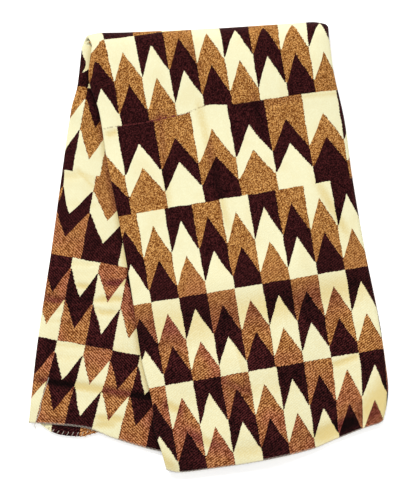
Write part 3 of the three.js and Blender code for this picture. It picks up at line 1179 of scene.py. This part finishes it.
def loose_end(material):
    """A loose end of the thread, lying on the back half near its hem."""
    step = np.linspace(0, len(LOOSE_END["down"]) - 1, LOOSE_STEPS)
    rows = {**LOOSE_END, "step": np.arange(len(LOOSE_END["down"]), dtype=float)}
    across = along(rows, "step", "across", step)
    down = along(rows, "step", "down", step)
    left, right = sides_at(BACK_SIDES, down)
    top = ridges(BACK_RIDGES, down, (across - left) / (right - left))
    top = top + creases(BACK_CREASES, across, down)[0]
    top = top + thick_at(across - left) + OVERLOCK["Thread"]
    line = np.array([*to_plan(BACK_LEAN, across, down), top]).T
    curve = bpy.data.curves.new("loose_thread", "CURVE")
    curve.dimensions = "3D"
    curve.bevel_depth = OVERLOCK["Thread"] * MM
    curve.bevel_resolution = 1
    curve.use_fill_caps = True
    spline = curve.splines.new("POLY")
    spline.points.add(len(line) - 1)
    for point, place in zip(spline.points, line * MM):
        point.co = (*place, 1)
    thread = bpy.data.objects.new("loose_thread", curve)
    bpy.context.collection.objects.link(thread)
    seen = thread.evaluated_get(bpy.context.evaluated_depsgraph_get())
    mesh = bpy.data.meshes.new_from_object(seen)
    bpy.data.objects.remove(thread)
    mesh.materials.clear()
    mesh.materials.append(material)
    piece = bpy.data.objects.new("loose_thread", mesh)
    bpy.context.collection.objects.link(piece)
    return piece


def hem_thread():
    """Pale cotton thread, a little uneven, painted greyer as the shade of its shadow along the hem."""
    material = matt_material("hem_thread", WHITE)
    tree = material.node_tree
    spot = tree.nodes.new("ShaderNodeTexCoord")
    uneven = tree.nodes.new("ShaderNodeTexNoise")
    uneven.inputs["Scale"].default_value = THREAD_UNEVEN
    tree.links.new(spot.outputs["Object"], uneven.inputs["Vector"])
    colour = blend(Field(tree, uneven.outputs["Fac"]), THREAD_COLOUR["deep"], THREAD_COLOUR["light"])
    tree.links.new(colour, tree.nodes["Principled BSDF"].inputs["Base Color"])
    return material


# Floor, light and camera
VIEW_CENTRE = (-3.45, -2.3)
VIEW_HEIGHT = 575  # what the image's 500 pixels take in
VIEW_LEVEL = 12  # at this height above the floor
CAMERA_UP = 3000
CAMERA_SENSOR = 36
CAMERA_REACH = 20000
FLOOR_SIZE = 24000
FLOOR_LEVEL = -0.3
FLOOR_COLOUR = (0.9, 0.9, 0.89, 1)
FLOOR_GLOW = 0.4  # as a white light table
ROOM_LIGHT = 0.5
# Places and sizes of the lamps in metres
LAMPS = {
    "window": {"place": (-0.7, 2.2, 3.1), "size": 1.35, "power": 123},
    "front_lamp": {"place": (0.3, -0.2, 2.6), "size": 1.4, "power": 14},
}


def floor():
    half = FLOOR_SIZE / 2
    corners = [(x * half, y * half, FLOOR_LEVEL) for x, y in ((-1, -1), (1, -1), (1, 1), (-1, 1))]
    mesh = made_mesh("floor", np.array(corners), np.array([[0, 1, 2, 3]]))
    plane = bpy.data.objects.new("floor", mesh)
    lit = matt_material("pale_floor", FLOOR_COLOUR)
    shader = lit.node_tree.nodes["Principled BSDF"]
    shader.inputs["Emission Color"].default_value = WHITE
    shader.inputs["Emission Strength"].default_value = FLOOR_GLOW
    plane.data.materials.append(lit)
    bpy.context.collection.objects.link(plane)


def soft_light(name, place, size, power):
    """A round lamp that points at the part."""
    light = bpy.data.lights.new(name, "AREA")
    light.shape = "DISK"
    light.size = size
    light.energy = power
    lamp = bpy.data.objects.new(name, light)
    lamp.location = place
    x, y, z = place
    lamp.rotation_euler = (math.atan2(math.hypot(x, y), z), 0, math.atan2(x, -y))
    bpy.context.collection.objects.link(lamp)


def studio():
    world = bpy.data.worlds.new("soft_room")
    world.use_nodes = True
    sky = world.node_tree.nodes["Background"]
    sky.inputs["Color"].default_value = WHITE
    sky.inputs["Strength"].default_value = ROOM_LIGHT
    bpy.context.scene.world = world
    for name, lamp in LAMPS.items():
        soft_light(name, **lamp)
    bpy.context.scene.view_settings.view_transform = "Standard"
    floor()


def camera():
    lens = bpy.data.cameras.new("above")
    lens.sensor_width = CAMERA_SENSOR
    lens.lens = CAMERA_SENSOR * CAMERA_UP / VIEW_HEIGHT
    lens.clip_end = CAMERA_REACH * MM
    eye = bpy.data.objects.new("above", lens)
    eye.location = (VIEW_CENTRE[0] * MM, VIEW_CENTRE[1] * MM, (CAMERA_UP + VIEW_LEVEL) * MM)
    bpy.context.collection.objects.link(eye)
    bpy.context.scene.camera = eye


camera()
studio()
sheet = cloth_sheet()
cloth = kente_cloth(*sheet)
cloth.data.materials.append(kente_weave())
thread = hem_thread()
sewing = [*overlock(sheet[0], thread), loose_end(thread)]
for piece in (cloth, *sewing):
    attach(piece, "root")
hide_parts("kente_cloth")
